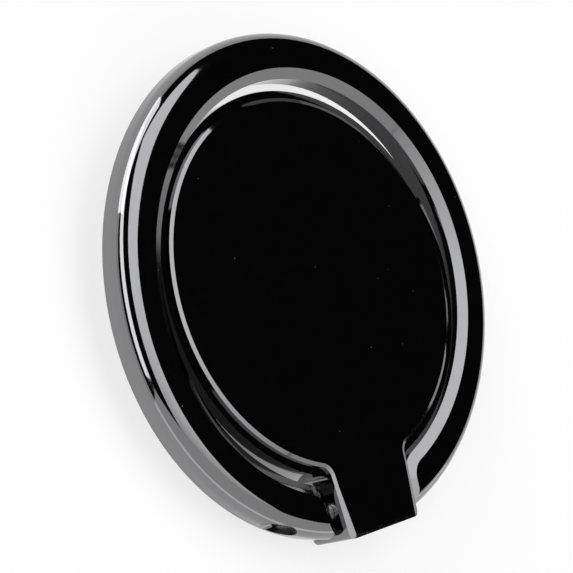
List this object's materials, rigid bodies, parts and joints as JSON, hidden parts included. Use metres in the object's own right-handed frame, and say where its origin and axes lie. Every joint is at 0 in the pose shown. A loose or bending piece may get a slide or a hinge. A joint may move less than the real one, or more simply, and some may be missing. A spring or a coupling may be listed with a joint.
{
  "type": "phone ring holder",
  "caption": "Black plated finger ring hinged to a keyhole plate that swivels on a flat adhesive base, used to grip or prop up a phone.",
  "frame": {"origin": "centre of the sticky back face, on the swivel axis", "axes": "+Z along the swivel axis out of the plate's face, -Y towards the tail and hinge, X along the hinge pin"},
  "size_m": [0.036, 0.0359, 0.0059],
  "materials": {
    "black_plating": "mirror polished black plating on cast zinc",
    "pin_steel": "ground",
    "rivet_steel": "zinc plated",
    "spring_steel": "rolled",
    "washer_plastic": "smooth",
    "base_steel": "black coated pressed steel",
    "pad_foam": "tacky foam tape"
  },
  "bodies": {
    "base": {"adhesive_pad": "pad_foam", "base_plate": "base_steel", "slide_washer": "washer_plastic"},
    "turntable": {"keyhole_plate": "black_plating", "swivel_rivet": "rivet_steel", "disc_spring": "spring_steel"},
    "finger_ring": {"ring": "black_plating", "hinge_pin": "pin_steel"}
  },
  "joints": [
    {"name": "swivel", "type": "hinge", "parent": "base", "child": "turntable", "pos_m": [0, 0, 0], "axis": [0, 0, 1], "continuous": true},
    {"name": "ring_fold", "type": "hinge", "parent": "turntable", "child": "finger_ring", "pos_m": [0, -0.0157, 0.00261], "axis": [1, 0, 0], "range_deg": [-3.8, 176.2]}
  ]
}
